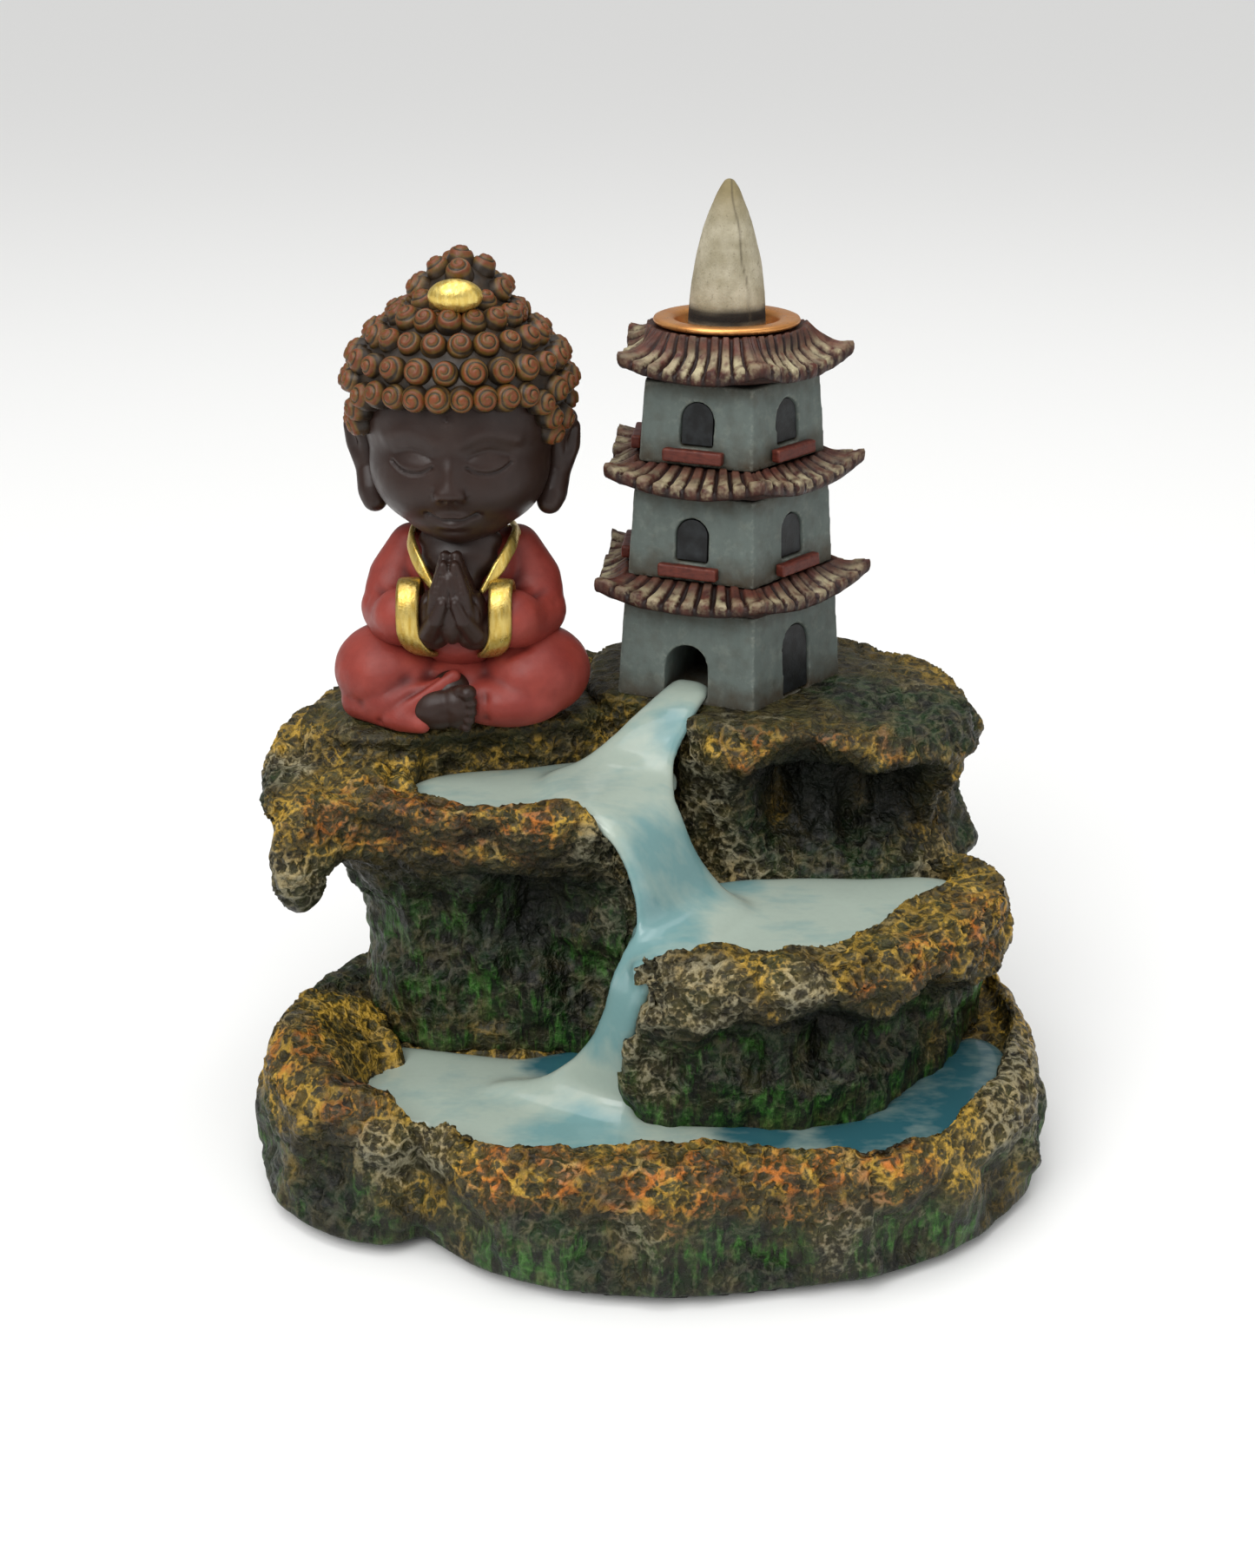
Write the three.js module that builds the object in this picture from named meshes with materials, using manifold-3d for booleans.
// Backflow incense burner: a cast-stone terrace with poured resin pools, a five-sided
// pagoda that carries the metal cup and the incense cone, and a seated child monk.
// Millimetres, +Z up, the front faces -Y, the origin is under the middle of the base.
import * as THREE from "three";
import { mergeVertices } from "three/addons/utils/BufferGeometryUtils.js";
import Module from "manifold-3d";

const wasm = await Module();
wasm.setup();

// ---- driving dimensions --------------------------------------------------------------
const GAP = 0.3; // between pieces that touch
const FELT_THICK = 1.5;
const STONE_FOOT = FELT_THICK + GAP;
const LOWER_WATER = 19; // heights of the three water surfaces
const MIDDLE_WATER = 49;
const UPPER_WATER = 67;
const WATER_THICK = 2.6;
const TERRACE = LOWER_WATER + GAP; // the level that the crags stand on
const SEAT = 75; // where the monk sits
const TOWER_FOOT = 77;
const CUP_TOP = 140;
const TOWER_AT = [11.5, 30];
const TOWER_TURN = THREE.MathUtils.degToRad(13); // of the front corner, towards +X
const DUCT_RADIUS = 4.6;
const MONK_AT = [-34.3, 19];

// ---- colours -------------------------------------------------------------------------
const finish = (color, roughness, metalness = 0) =>
  new THREE.MeshStandardMaterial({ color, roughness, metalness });
const PAINT = {
  stone: finish(0x6b5a3c, 0.8),
  felt: finish(0x23231f, 0.95),
  water: finish(0x7fb0b4, 0.15),
  wall: finish(0x78827f, 0.7),
  tile: finish(0x6a4438, 0.7),
  sill: finish(0x7a4030, 0.65),
  pane: finish(0x1c1e20, 0.45),
  copper: finish(0xd08a4a, 0.3, 0.9),
  incense: finish(0xa59f8c, 0.95),
  skin: finish(0x33211c, 0.5),
  hair: finish(0x7c4a2a, 0.6),
  robe: finish(0xa8483f, 0.55),
  gold: finish(0xc9a646, 0.3, 0.8),
};

// ---- solids from three.js geometry ---------------------------------------------------
function solid(geometry) {
  const bare = geometry.clone();
  bare.deleteAttribute("normal");
  bare.deleteAttribute("uv");
  const merged = mergeVertices(bare, 1e-4);
  const corners = [...merged.index.array];
  const kept = corners.filter((_, i) => {
    const [a, b, c] = corners.slice(i - (i % 3), i - (i % 3) + 3);
    return a !== b && b !== c && c !== a;
  });
  return new wasm.Manifold(
    new wasm.Mesh({
      numProp: 3,
      vertProperties: merged.attributes.position.array,
      triVerts: new Uint32Array(kept),
    }),
  );
}

const join = (solids) => solids.reduce((all, one) => all.add(one));

// An ellipsoid [x, y, z, rx, ry, rz], grown by a margin, tilted about X, Y and Z in degrees.
function egg([x, y, z, rx, ry, rz, tiltX = 0, tiltY = 0, tiltZ = 0], grow = 0) {
  const fine = Math.max(rx, ry, rz) > 9.5;
  const geometry = new THREE.SphereGeometry(1, fine ? 14 : 10, fine ? 9 : 7);
  geometry.rotateX(Math.PI / 2);
  geometry.scale(rx + grow, ry + grow, rz + grow);
  geometry.rotateX(THREE.MathUtils.degToRad(tiltX));
  geometry.rotateY(THREE.MathUtils.degToRad(tiltY));
  geometry.rotateZ(THREE.MathUtils.degToRad(tiltZ));
  geometry.translate(x, y, z);
  return solid(geometry);
}

const eggs = (list, grow = 0) => join(list.map((one) => egg(one, grow)));

const isClockwise = (points) =>
  THREE.ShapeUtils.isClockWise(points.map(([x, y]) => new THREE.Vector2(x, y)));

// A closed curve through a few [x, y] points.
function outlineCurve(points, clockwise) {
  const run = points.map(([x, y]) => new THREE.Vector3(x, y, 0));
  if (clockwise) run.reverse();
  return new THREE.CatmullRomCurve3(run, true, "centripetal");
}

// A boulder: one closed outline at each level { z, points }, bottom first, skinned together.
// sides is a multiple of four.
function boulder(levels, grow = 0, sides = 24) {
  const steps = levels.length - 1;
  const clockwise = isClockwise(levels[0].points);
  const curves = levels.map(({ points }) => outlineCurve(points, clockwise));
  const centres = levels.map(({ points }) => [
    points.reduce((sum, p) => sum + p[0], 0) / points.length,
    points.reduce((sum, p) => sum + p[1], 0) / points.length,
  ]);
  const geometry = new THREE.CylinderGeometry(1, 1, steps, sides, steps);
  geometry.rotateX(Math.PI / 2);
  const position = geometry.attributes.position;
  for (let i = 0; i < position.count; i++) {
    const level = Math.round(position.getZ(i) + steps / 2);
    const z = levels[level].z + (level === 0 ? -grow : level === steps ? grow : 0);
    const [cx, cy] = centres[level];
    const onWall = Math.hypot(position.getX(i), position.getY(i)) > 0.5;
    if (!onWall) {
      position.setXYZ(i, cx, cy, z);
      continue;
    }
    const turn = Math.atan2(position.getY(i), position.getX(i)) / (2 * Math.PI);
    const on = curves[level].getPoint((Math.round(turn * sides + sides) % sides) / sides);
    const out = Math.hypot(on.x - cx, on.y - cy);
    const reach = (out + grow) / out;
    position.setXYZ(i, cx + (on.x - cx) * reach, cy + (on.y - cy) * reach, z);
  }
  return solid(geometry);
}

const scaled = (points, factor) => points.map(([x, y]) => [x * factor, y * factor]);
const shifted = (points, dx, dy) => points.map(([x, y]) => [x + dx, y + dy]);

// A flat-bottomed plate whose edge is a smooth closed curve, from one height to another.
function plate(points, low, high, grow = 0) {
  const curve = outlineCurve(points, isClockwise(points));
  const ring = curve.getPoints(points.length * 2).slice(0, -1);
  const edge = ring.map((p, i) => {
    const before = ring[(i + ring.length - 1) % ring.length];
    const after = ring[(i + 1) % ring.length];
    const out = new THREE.Vector3(after.y - before.y, before.x - after.x, 0).normalize();
    return new THREE.Vector2(p.x + out.x * grow, p.y + out.y * grow);
  });
  const geometry = new THREE.ExtrudeGeometry(new THREE.Shape(edge), {
    depth: high - low,
    bevelEnabled: false,
  });
  geometry.translate(0, 0, low);
  return solid(geometry);
}

// A falling sheet of water: a side profile of [y, z] points, as wide as stated, turned about
// the vertical through the middle of its top edge.
function sheet(profile, width, [x, y], turn, grow = 0) {
  const STEPS = 7;
  const curve = new THREE.SplineCurve(profile.map(([a, b]) => new THREE.Vector2(a, b)));
  const run = curve.getPoints(STEPS);
  const half = WATER_THICK / 2 + grow;
  const across = (i, side) => {
    const t = curve.getTangent(i / STEPS);
    const end = i === 0 ? -grow : i === STEPS ? grow : 0;
    return new THREE.Vector2(
      run[i].x - t.y * half * side + t.x * end,
      run[i].y + t.x * half * side + t.y * end,
    );
  };
  const edge = [
    ...run.map((_, i) => across(i, -1)),
    ...run.map((_, i) => across(STEPS - i, 1)),
  ];
  const geometry = new THREE.ExtrudeGeometry(new THREE.Shape(edge), {
    depth: width + 2 * grow,
    bevelEnabled: false,
  });
  geometry.translate(0, 0, -width / 2 - grow);
  geometry.rotateX(Math.PI / 2);
  geometry.rotateZ(Math.PI / 2);
  geometry.rotateZ(turn);
  geometry.translate(x, y, 0);
  return solid(geometry);
}

const group = new THREE.Group();

function addNode(parent, name, made, material) {
  const { vertProperties, triVerts, numProp } = made.getMesh();
  const geometry = new THREE.BufferGeometry();
  const points = new Float32Array((vertProperties.length / numProp) * 3);
  for (let i = 0; i < points.length / 3; i++)
    points.set(vertProperties.subarray(i * numProp, i * numProp + 3), i * 3);
  geometry.setAttribute("position", new THREE.BufferAttribute(points, 3));
  geometry.setIndex(new THREE.BufferAttribute(triVerts, 1));
  geometry.computeVertexNormals();
  const mesh = new THREE.Mesh(geometry, material);
  mesh.name = name;
  parent.add(mesh);
}

// ---- stone outlines ------------------------------------------------------------------
const BASE = [
  [3, -55], [25, -52], [42, -47], [57, -36], [66, -22], [69.5, -4], [67, 16], [59, 33],
  [44, 46], [20, 53], [-5, 55], [-30, 53], [-50, 44], [-63, 26], [-66, 6], [-60, -14],
  [-46, -32], [-32, -46], [-17, -53],
];
const LEFT_BOULDER = [
  [-43, -41], [-37, -34], [-38, -22], [-45, -10], [-52, 1], [-61, 3], [-67.5, -6],
  [-69, -20], [-64, -32], [-53, -40],
];
const LOWER_POOL = [
  [-8, -41.5], [20, -41.5], [34, -43], [46, -37], [55, -23], [61, -6], [56, -1], [45, -16],
  [32, -29], [14, -30], [-4, -28], [-8, -15], [-9, -5], [-24, -9], [-42, -5], [-52, -4],
  [-46, -19], [-36, -33], [-27, -41],
];
const MIDDLE_POOL = [
  [-3.6, -30], [6, -29], [26, -26], [41, -13], [51, 2], [37, 2], [14, 1.5], [3, -4],
  [-3, -14],
];
const UPPER_POOL = [
  [2, 9], [1.6, 1], [-4, -6], [-10, -13.4], [-18, -11.4], [-29, -10.6], [-38, -6],
  [-42, 2], [-36, 7], [-24, 9], [-10, 13],
];

// ---- the stone -----------------------------------------------------------------------
const leftBoulder = (grow = 0) =>
  boulder(
    [
      { z: STONE_FOOT, points: scaled(LEFT_BOULDER, 0.985) },
      { z: 8, points: LEFT_BOULDER },
      { z: 17, points: shifted(LEFT_BOULDER, 0.6, 1) },
      { z: 24, points: shifted(scaled(LEFT_BOULDER, 0.97), 0, 0.5) },
      {
        z: 29,
        points: [
          [-44, -33], [-42, -29], [-45, -20], [-50, -9], [-54, -3], [-60, -2], [-64, -7],
          [-63, -18], [-58, -26], [-51, -33],
        ],
      },
    ],
    grow,
  );

const LEFT_FOOT = [
  [-2, -15], [-10, -7], [-24, -8], [-42, -5], [-51, 4], [-55, 20], [-51, 38], [-38, 48],
  [-18, 51], [2, 50], [2, 24], [2, 2],
];
const LEFT_SHELF = [
  [-9, -16.5], [-16, -17.5], [-30, -17], [-48, -13], [-65, -13], [-69, 10], [-66, 34],
  [-48, 46.5], [-20, 51], [2, 50.5], [2, 24], [1.6, 2],
];
const leftCrag = (grow = 0) =>
  join([
    boulder(
      [
        { z: TERRACE, points: LEFT_FOOT },
        { z: 34, points: scaled(LEFT_FOOT, 0.97).map(([x, y]) => [Math.min(x + 1, 2), y]) },
        { z: 50, points: LEFT_FOOT.map(([x, y]) => [x < -45 ? x - 4 : x, y]) },
        { z: 60, points: LEFT_SHELF.map(([x, y]) => [x * 0.95, y < 0 ? y * 0.86 : y]) },
        { z: 66, points: LEFT_SHELF },
        { z: 70, points: LEFT_SHELF.map(([x, y]) => [x < 0 ? x * 0.975 : x, y * 0.97]) },
      ],
      grow,
      28,
    ),
    // the mound under the monk
    boulder(
      [
        {
          z: 66,
          points: [
            [-6, 14], [-24, 6], [-44, 2], [-58, 4], [-66, 14], [-63, 34], [-46, 45],
            [-20, 50], [0, 49], [-6.5, 34],
          ],
        },
        {
          z: SEAT - GAP,
          points: [
            [-9, 16], [-24, 9], [-44, 4], [-57, 7], [-63, 16], [-60, 32], [-45, 42],
            [-20, 47], [-4, 46], [-9, 33],
          ],
        },
      ],
      grow,
    ),
    egg([-60, -11, 60, 6.5, 7, 11, 0, 8, 0], grow), // the tip that hangs from the shelf
  ]);

const LEDGE = [
  [-4, -25], [8, -25], [24, -21], [38, -13], [50, 0], [57, 16], [54, 34], [42, 47],
  [20, 52], [2.6, 50.5], [2.6, 5], [-4, -12],
];
const RIGHT_TOP = [
  [8, 3], [14, -0.5], [36, -1], [48, 2], [57, 12], [58, 24], [53, 38], [41, 48], [20, 52],
  [2.6, 50.5], [2.6, 24], [4, 8],
];
const rightCrag = (grow = 0) =>
  join([
    boulder(
      [
        { z: TERRACE, points: LEDGE },
        { z: 36, points: LEDGE.map(([x, y]) => [x > 45 ? x - 2 : x, y]) },
        { z: MIDDLE_WATER - 1, points: LEDGE.map(([x, y]) => [x > 45 ? x + 1.5 : x, y]) },
      ],
      grow,
    ),
    boulder(
      [
        { z: MIDDLE_WATER - 3, points: RIGHT_TOP.map(([x, y]) => [x, y < 5 ? y + 3 : y]) },
        { z: 60, points: RIGHT_TOP.map(([x, y]) => [x > 50 ? x - 2 : x, y < 5 ? y + 5 : y]) },
        { z: 70, points: RIGHT_TOP },
        {
          z: TOWER_FOOT - GAP,
          points: RIGHT_TOP.map(([x, y]) => [x > 30 ? x - 2 : x, y < 5 ? y + 2 : y]),
        },
      ],
      grow,
      28,
    ),
    // the plinth that reaches under the left side of the tower
    boulder(
      [
        { z: MIDDLE_WATER, points: [[-7, 21], [-1, 16], [8, 12], [8, 48], [-8, 46]] },
        { z: TOWER_FOOT - GAP, points: [[-11, 20], [-3, 16.5], [8, 11], [8, 48], [-9, 46]] },
      ],
      grow,
      16,
    ),
  ]);

const MIDDLE_FOOT = [
  [-5, -27], [14, -29.5], [32, -29], [45, -16], [55, -3], [60, 8], [54, 10], [40, -4],
  [20, -14], [-2, -17],
];
const MIDDLE_TOP = [
  [-4, -34], [10, -37], [30, -37], [47, -26], [59, -12], [61, 2], [54, 8], [40, -4],
  [20, -14], [0, -20],
];
const middleCrag = (grow = 0) =>
  boulder(
    [
      { z: TERRACE, points: MIDDLE_FOOT },
      { z: 31, points: MIDDLE_FOOT.map(([x, y]) => [x, y < -20 ? y - 1 : y]) },
      { z: 41, points: MIDDLE_TOP },
      { z: 48, points: MIDDLE_TOP },
      { z: 52, points: MIDDLE_TOP.map(([x, y]) => [x * 0.97, y < -20 ? y + 3.5 : y]) },
    ],
    grow,
  );

// ---- the water -----------------------------------------------------------------------
const lowerPool = (grow = 0) =>
  plate(LOWER_POOL, LOWER_WATER - WATER_THICK - grow, LOWER_WATER, grow);
const middlePool = (grow = 0) =>
  plate(MIDDLE_POOL, MIDDLE_WATER - WATER_THICK - grow, MIDDLE_WATER, grow);
const upperPool = (grow = 0) =>
  plate(UPPER_POOL, UPPER_WATER - WATER_THICK - grow, UPPER_WATER, grow);

// The cascades: side profiles of [distance out, height], then width, place and turn.
const DOOR_TURN = TOWER_TURN - THREE.MathUtils.degToRad(36); // the smoke door, from -Y
const SIDE_TURN = THREE.MathUtils.degToRad(-70);
const spillway = (grow = 0) =>
  sheet([[-18.7, 75.6], [-21, 74.4], [-24.5, 70.8], [-28.5, 66.8]], 7.4, TOWER_AT, DOOR_TURN, grow);
const FALL = [[-1.5, 66.2], [-4.5, 62], [-6.5, 56], [-9.5, 50.8]];
const FALL_TURN = THREE.MathUtils.degToRad(52);
const upperCascade = (grow = 0, out = 0) =>
  sheet(FALL.map(([y, z]) => [y - out, z]), 15, [-4, -5.5], FALL_TURN, grow);
const lowerCascade = (grow = 0) =>
  sheet([[-6, 48.8], [-7, 44], [-7.4, 32], [-9, 20.8]], 11, [0.6, -20], SIDE_TURN, grow);

// ---- the stone and water nodes -------------------------------------------------------
const RIM_TOP = 25;
const CLEAR = 40; // how far a recess is cut upwards
const TERRACE_FLOOR = [
  [-27, -42], [-8, -42.2], [20, -42.2], [34, -43.6], [46.6, -37.6], [55.6, -23.4], [62, -6],
  [62.5, 10], [61, 24], [62, 42], [40, 62], [-40, 62], [-70, 42], [-72, 8], [-52, -4],
  [-46, -19], [-36, -33],
];
const poolBed = (outline, surface, above) =>
  plate(outline, surface - WATER_THICK - GAP, surface + above, GAP);
const waterCuts = join([
  poolBed(UPPER_POOL, UPPER_WATER, CLEAR),
  poolBed(MIDDLE_POOL, MIDDLE_WATER, 4),
  spillway(GAP),
  ...[0, 2.4, 4.8, 7.2].map((out) => upperCascade(GAP, out)), // and the air before it
  lowerCascade(GAP),
]);
const basin = boulder(
  [
    { z: STONE_FOOT, points: scaled(BASE, 0.985) },
    { z: 9, points: BASE },
    { z: 17, points: scaled(BASE, 0.985) },
    { z: 22, points: scaled(BASE, 0.955) },
    { z: RIM_TOP, points: scaled(BASE, 0.91) },
  ],
  0,
  40,
)
  .subtract(plate(TERRACE_FLOOR, LOWER_WATER, CLEAR))
  .subtract(poolBed(LOWER_POOL, LOWER_WATER, CLEAR))
  .subtract(leftBoulder(GAP));
const rightStone = rightCrag().subtract(waterCuts);
const leftStone = leftCrag()
  .subtract(rightCrag(GAP))
  .subtract(leftBoulder(GAP))
  .subtract(waterCuts);
const middleStone = middleCrag().subtract(rightCrag(GAP)).subtract(waterCuts);
const lowerWater = lowerPool().subtract(leftBoulder(GAP));
const middleWater = middlePool().subtract(lowerCascade(GAP)).subtract(upperCascade(GAP));
const upperWater = upperPool().subtract(spillway(GAP)).subtract(upperCascade(GAP));

addNode(group, "base_felt", plate(scaled(BASE, 0.93), 0, FELT_THICK), PAINT.felt);
addNode(group, "lower_basin", basin, PAINT.stone);
addNode(group, "left_boulder", leftBoulder(), PAINT.stone);
addNode(group, "left_crag", leftStone, PAINT.stone);
addNode(group, "right_crag", rightStone, PAINT.stone);
addNode(group, "middle_crag", middleStone, PAINT.stone);
addNode(group, "lower_pool", lowerWater, PAINT.water);
addNode(group, "middle_pool", middleWater, PAINT.water);
addNode(group, "upper_pool", upperWater, PAINT.water);
addNode(group, "spillway", spillway(), PAINT.water);
addNode(group, "upper_cascade", upperCascade(), PAINT.water);
addNode(group, "lower_cascade", lowerCascade(), PAINT.water);

// ---- the pagoda, about its own axis --------------------------------------------------
const tower = new THREE.Group();
tower.position.set(TOWER_AT[0], TOWER_AT[1], 0);
tower.rotation.z = TOWER_TURN;
group.add(tower);

const FACES = 5;
const FACE_ANGLE = (2 * Math.PI) / FACES;
const STOREYS = [
  { low: TOWER_FOOT, high: 93.7, radiusLow: 21.6, radiusHigh: 20.3 },
  { low: 98.6, high: 113.5, radiusLow: 19.5, radiusHigh: 18.3 },
  { low: 118.2, high: 132, radiusLow: 17.4, radiusHigh: 16.2 },
];
const ROOFS = [
  { low: 94, rise: 4.3, eave: 25.7, neck: 19.9 },
  { low: 113.8, rise: 4.1, eave: 23.8, neck: 17.8 },
  { low: 132.3, rise: 6.2, eave: 21.2, neck: 13.4 },
];

// A five-sided prism with a corner towards -Y, tapering from one radius to another.
function pentagon({ low, high, radiusLow, radiusHigh }) {
  const geometry = new THREE.CylinderGeometry(radiusHigh, radiusLow, high - low, FACES, 1);
  geometry.rotateX(Math.PI / 2);
  geometry.translate(0, 0, (low + high) / 2);
  return solid(geometry);
}

function post(radius, low, high, sides = 16) {
  const geometry = new THREE.CylinderGeometry(radius, radius, high - low, sides);
  geometry.rotateX(Math.PI / 2);
  geometry.translate(0, 0, (low + high) / 2);
  return solid(geometry);
}

// A round-headed opening standing on z = 0, cut from y = 0 inwards to y = depth.
function arch(width, height, depth) {
  const half = width / 2;
  const outline = new THREE.Shape();
  outline.moveTo(-half, 0);
  outline.lineTo(half, 0);
  outline.lineTo(half, height - half);
  outline.absarc(0, height - half, half, 0, Math.PI);
  outline.lineTo(-half, 0);
  const geometry = new THREE.ExtrudeGeometry(outline, {
    depth,
    bevelEnabled: false,
    curveSegments: 6,
  });
  geometry.rotateX(Math.PI / 2);
  geometry.translate(0, depth, 0);
  return geometry;
}

const box = (width, deep, high) => new THREE.BoxGeometry(width, deep, high);

// Sets a geometry made at the origin, facing -Y, on one face of the tower.
function onFace(geometry, face, storey, height, inwards = 0) {
  const { low, high, radiusLow, radiusHigh } = storey;
  const share = (height - low) / (high - low);
  const flat = Math.cos(FACE_ANGLE / 2);
  const radius = (radiusLow + (radiusHigh - radiusLow) * share) * flat;
  const lean = Math.atan2((radiusLow - radiusHigh) * flat, high - low);
  return geometry
    .rotateX(-lean)
    .translate(0, -radius + inwards, height)
    .rotateZ((face + 0.5) * FACE_ANGLE);
}

const SMOKE_FACE = 4; // front left, where the smoke leaves
const DARK_FACE = 0; // front right, a closed door
const DOOR = { width: 8, height: 10.4, deep: 1.6, floor: 0.9 };
const DARK_DOOR = { width: 7.6, height: 12.4, deep: 1.6 };
const WINDOW = { width: 6, height: 7.6, deep: 1.6, foot: 3.4 };
const SILL = { width: 10.4, deep: 1.5, high: 2 };
const PANE_SET_BACK = 0.5;

// The recess for a dark pane in one face, and the pane itself.
function paneIn(storey, face, { width, height, deep }, foot, name) {
  const pane = arch(width - 2 * GAP, height - 2 * GAP, deep - PANE_SET_BACK - GAP);
  const set = onFace(pane, face, storey, foot + GAP, PANE_SET_BACK);
  addNode(tower, name, solid(set), PAINT.pane);
  return solid(onFace(arch(width, height, deep + 1), face, storey, foot, -1));
}

function groundStorey(storey) {
  const upright = { ...storey, radiusHigh: storey.radiusLow };
  const tunnel = arch(DOOR.width, DOOR.height - DOOR.floor, storey.radiusLow + 1);
  const doorFoot = storey.low + 0.5;
  const made = pentagon(storey)
    .subtract(post(DUCT_RADIUS, storey.low + DOOR.floor, storey.high + 1))
    .subtract(solid(onFace(tunnel, SMOKE_FACE, upright, storey.low + DOOR.floor, -1)))
    .subtract(paneIn(storey, DARK_FACE, DARK_DOOR, doorFoot, "door_pane"));
  addNode(tower, "storey_1", made, PAINT.wall);
}

function windowStorey(storey, number) {
  let made = pentagon(storey).subtract(post(DUCT_RADIUS, storey.low - 1, storey.high + 1));
  const foot = storey.low + WINDOW.foot;
  for (let face = 0; face < FACES; face++) {
    const name = `${number}_${face + 1}`;
    made = made.subtract(paneIn(storey, face, WINDOW, foot, `window_pane_${name}`));
    const sill = box(SILL.width, SILL.deep, SILL.high);
    const sillHeight = foot - SILL.high / 2 - GAP;
    const set = onFace(sill, face, storey, sillHeight, -SILL.deep / 2 - GAP);
    addNode(tower, `sill_${name}`, solid(set), PAINT.sill);
  }
  addNode(tower, `storey_${number}`, made, PAINT.wall);
}

const CUP = { flange: 12.3, body: 9.6, bowl: 8.8, hole: 2.1, foot: 134.1, floor: 135.3 };
const CORNER_LIFT = 1.8;

// A roof: a turned profile, squared to five sides outside the neck, its corners swept up.
function roofNode(index) {
  const { low, rise, eave, neck } = ROOFS[index];
  const inner = DUCT_RADIUS;
  const profile = [
    [inner, low], [eave - 1.2, low + 0.2], [eave, low + 0.5], [eave, low + 1.7],
    [(eave + neck) / 2, low + 1.6 + rise * 0.28], [neck, low + rise], [inner, low + rise],
    [inner, low],
  ].map(([r, z]) => new THREE.Vector2(r, z));
  const geometry = new THREE.LatheGeometry(profile, 20);
  geometry.rotateX(Math.PI / 2);
  const position = geometry.attributes.position;
  const squareNeck = index < 2;
  for (let i = 0; i < position.count; i++) {
    const x = position.getX(i);
    const y = position.getY(i);
    const radius = Math.hypot(x, y);
    if (radius < inner + 0.1) continue;
    const turn = Math.atan2(y, x) + Math.PI / 2;
    const offCorner = turn - Math.round(turn / FACE_ANGLE) * FACE_ANGLE;
    const corner = 1 - Math.abs(offCorner) / (FACE_ANGLE / 2);
    const flat = Math.cos(FACE_ANGLE / 2) / Math.cos(FACE_ANGLE / 2 - Math.abs(offCorner));
    const share = Math.max(0, (radius - neck) / (eave - neck));
    const square = squareNeck ? flat : 1 + (flat - 1) * Math.min(1, share * 2);
    position.setXY(i, x * square, y * square);
    position.setZ(i, position.getZ(i) + CORNER_LIFT * corner ** 2 * share ** 2);
  }
  let made = solid(geometry);
  if (index === 2) made = made.subtract(post(CUP.body + GAP, CUP.foot - GAP, CUP_TOP + 5, 24));
  addNode(tower, `roof_${index + 1}`, made, PAINT.tile);
}

groundStorey(STOREYS[0]);
windowStorey(STOREYS[1], 2);
windowStorey(STOREYS[2], 3);
ROOFS.forEach((_, index) => roofNode(index));

const lathe = (profile, sides) => {
  const geometry = new THREE.LatheGeometry(
    profile.map(([r, z]) => new THREE.Vector2(r, z)),
    sides,
  );
  geometry.rotateX(Math.PI / 2);
  return solid(geometry);
};

addNode(
  tower,
  "cup_ring",
  lathe(
    [
      [CUP.hole, CUP.foot], [CUP.body, CUP.foot], [CUP.body, CUP_TOP - 1.1],
      [CUP.flange, CUP_TOP - 1.1], [CUP.flange + 0.2, CUP_TOP - 0.5],
      [CUP.flange - 0.3, CUP_TOP], [CUP.bowl + 0.9, CUP_TOP], [CUP.bowl, CUP_TOP - 0.7],
      [CUP.bowl, CUP.floor], [CUP.hole, CUP.floor], [CUP.hole, CUP.foot],
    ],
    24,
  ),
  PAINT.copper,
);
addNode(
  tower,
  "incense_cone",
  lathe(
    [
      [0, 149.5], [1.5, 148.5], [1.7, 135.6], [6.6, 135.6], [6.75, 139], [6.35, 145],
      [5.5, 150.5], [4.1, 156], [2.4, 160.6], [1, 163], [0, 163.4],
    ],
    16,
  ),
  PAINT.incense,
);

// ---- the seated child monk, about its own seat ---------------------------------------
const monk = new THREE.Group();
monk.position.set(MONK_AT[0], MONK_AT[1], SEAT);
monk.rotation.z = THREE.MathUtils.degToRad(-3);
group.add(monk);

// Swaps left and right about X = 0, then moves along X.
const mirror = (list, shift = 0) =>
  list.map(([x, y, z, a, b, c, tiltX = 0, tiltY = 0, tiltZ = 0]) => [
    shift - x, y, z, a, b, c, tiltX, -tiltY, -tiltZ,
  ]);
const LEGS = [
  [-12.4, -3.5, 8, 9.6, 11, 8], [13, -3.5, 8, 9.8, 11, 8], [0, -4, 5.6, 12, 9, 5.6],
  [0, 6, 8, 15, 10, 8.4], [-8, -10.5, 4.4, 9, 5.6, 4.4, 0, 0, -18],
  [9.5, -9.5, 4.6, 9, 6, 4.6, 0, 0, 16],
];
const TORSO = [[0.4, 2.4, 18, 11.6, 10, 13], [0.6, 1.6, 26, 10.6, 9, 6.6]];
const LEFT_SLEEVE = [
  [-9.6, 2.4, 25, 5.2, 6, 6.6, 0, 20, 0], [-11.4, -0.5, 18.6, 5, 6, 7],
  [-8.8, -5.5, 17.4, 4.4, 5.6, 6.2],
];
const LEFT_CUFF = [[-6.6, -9.4, 19.2, 2.4, 3, 6.1, 0, 8, 18]];
const HANDS = [[0, -12.6, 24.4, 2.9, 3, 7], [0, -10.8, 19.6, 4.3, 3.6, 3.8]];
const FOOT = [[-1.6, -14.6, 5, 4.9, 3.4, 3.8], [1.8, -15, 4.4, 2.6, 2.8, 3.9]];
const NECK = [[0.6, 2, 32.4, 5.2, 5, 5]];
const HEAD = [[0.8, 1.4, 52, 16.2, 15.8, 17.6], [0.8, -0.6, 44.6, 14.8, 13.8, 12.4]];
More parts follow.
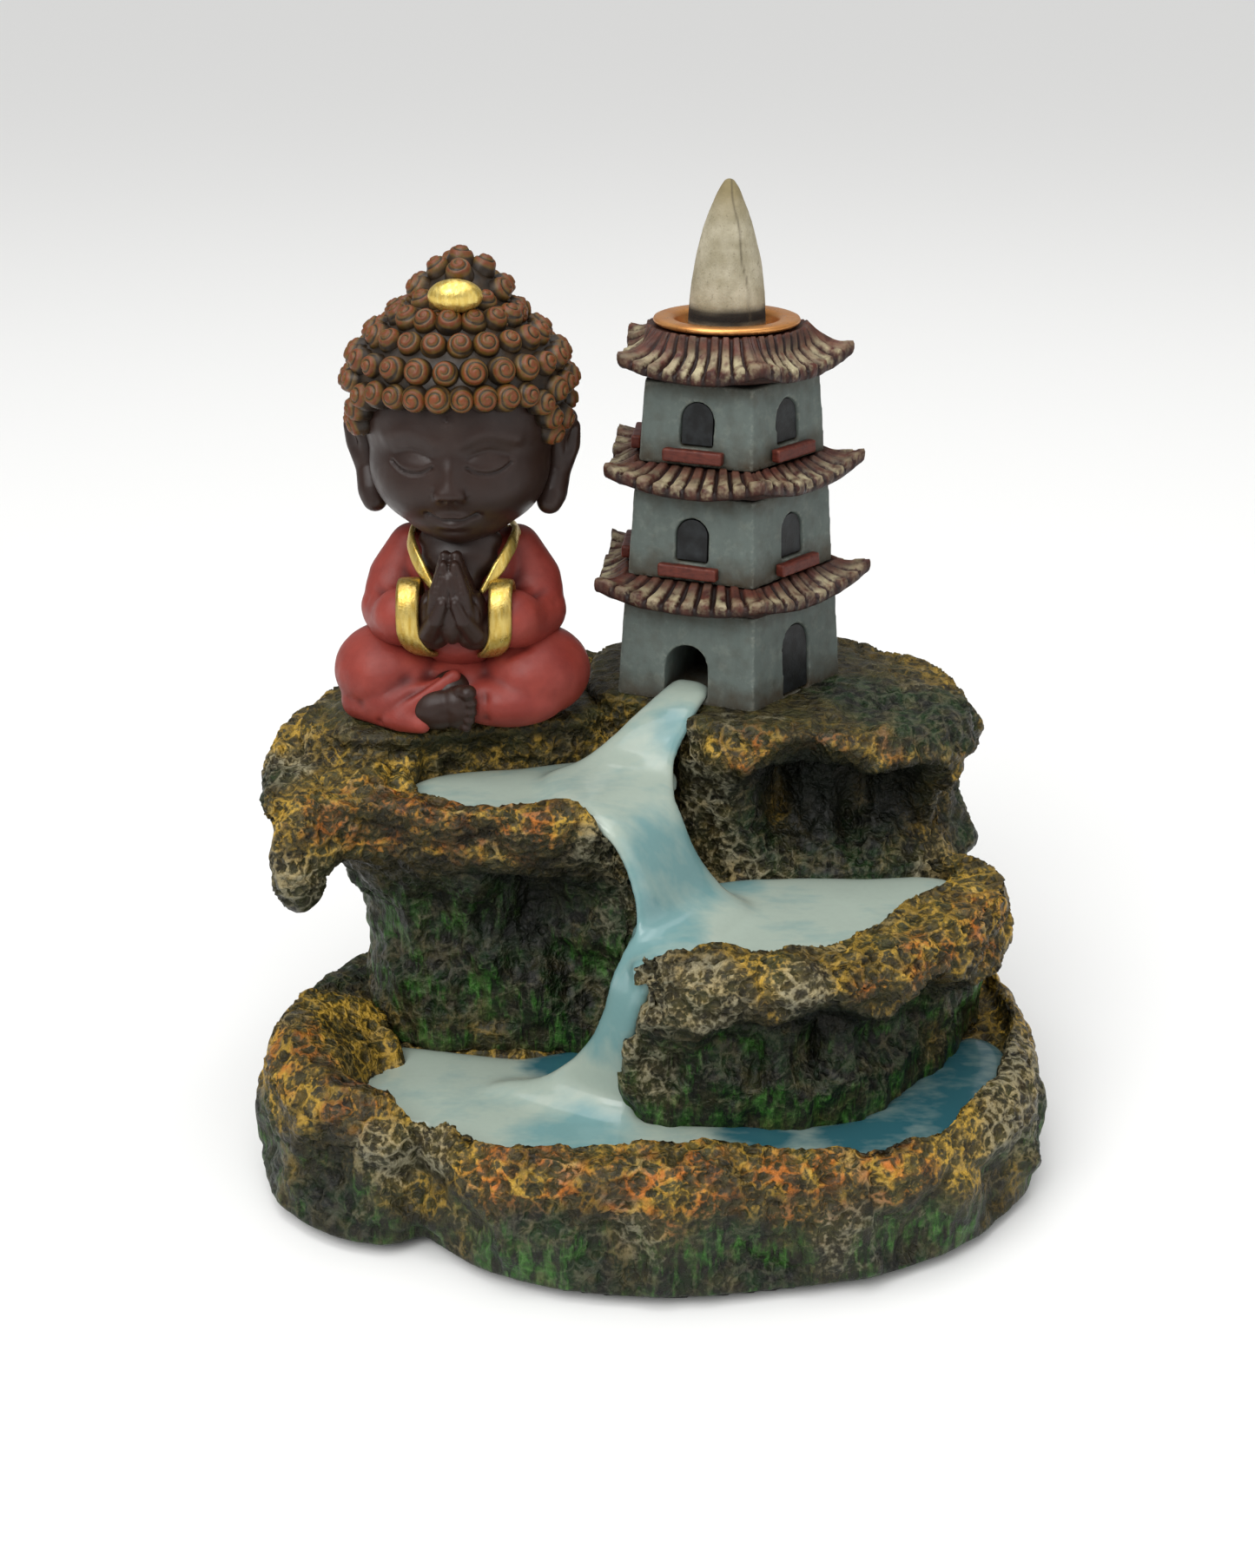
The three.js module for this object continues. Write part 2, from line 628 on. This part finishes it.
const LEFT_EAR = [[-16.6, 2.4, 44.6, 2.3, 3.6, 7.6, 0, 7, 0]];
const SCALP = [[0.9, 1.8, 56, 18.8, 18.4, 17]];
const TOPKNOT = [[1.6, 3.6, 69, 11.2, 10.6, 9]];
const JEWEL = [[1.7, -7.4, 72.2, 4.1, 2.6, 2.4]];

// The gold edge of the robe: a ring round the neck that dips to a V on the chest.
function collar(grow) {
  const geometry = new THREE.TorusGeometry(9.4, 1.1 + grow, 6, 20);
  const position = geometry.attributes.position;
  for (let i = 0; i < position.count; i++) {
    const forward = Math.max(0, -position.getY(i) / 9.4);
    position.setX(i, position.getX(i) + 1.1);
    position.setY(i, position.getY(i) + 0.8);
    position.setZ(i, position.getZ(i) + 32.4 - 6 * forward ** 1.8);
  }
  return solid(geometry);
}

const HAIRLINE = 56.5; // over the middle of the brow
const NAPE = 40;
const belowSeat = solid(box(80, 80, 20).translate(0, 0, -10));
const bareOfHair = egg([0.8, -16, HAIRLINE - 15, 15.4, 14, 15]).add(
  solid(box(60, 60, 40).translate(0, 0, NAPE - 20)),
);

// Each piece yields, with a gap, to the ones listed before it.
const figure = [
  { name: "bare_foot", list: FOOT, material: PAINT.skin },
  { name: "crossed_legs", list: LEGS, material: PAINT.robe },
  { name: "praying_hands", list: HANDS, material: PAINT.skin },
  { name: "left_cuff", list: LEFT_CUFF, material: PAINT.gold },
  { name: "right_cuff", list: mirror(LEFT_CUFF, 0.6), material: PAINT.gold },
  { name: "head", list: HEAD, material: PAINT.skin },
  { name: "neck", list: NECK, material: PAINT.skin },
  { name: "collar_trim", make: collar, material: PAINT.gold },
  { name: "left_sleeve", list: LEFT_SLEEVE, material: PAINT.robe },
  { name: "right_sleeve", list: mirror(LEFT_SLEEVE, 1), material: PAINT.robe },
  { name: "torso_robe", list: TORSO, material: PAINT.robe },
  { name: "left_ear", list: LEFT_EAR, material: PAINT.skin },
  { name: "right_ear", list: mirror(LEFT_EAR, 1.6), material: PAINT.skin },
  { name: "topknot_jewel", list: JEWEL, material: PAINT.gold },
  { name: "scalp_curls", list: SCALP, material: PAINT.hair, cut: bareOfHair },
  { name: "topknot_curls", list: TOPKNOT, material: PAINT.hair },
];
let taken = belowSeat;
for (const { name, list, make = (grow) => eggs(list, grow), material, cut } of figure) {
  const made = make(0).subtract(taken);
  addNode(monk, name, cut ? made.subtract(cut) : made, material);
  taken = taken.add(make(GAP));
}

export default group;
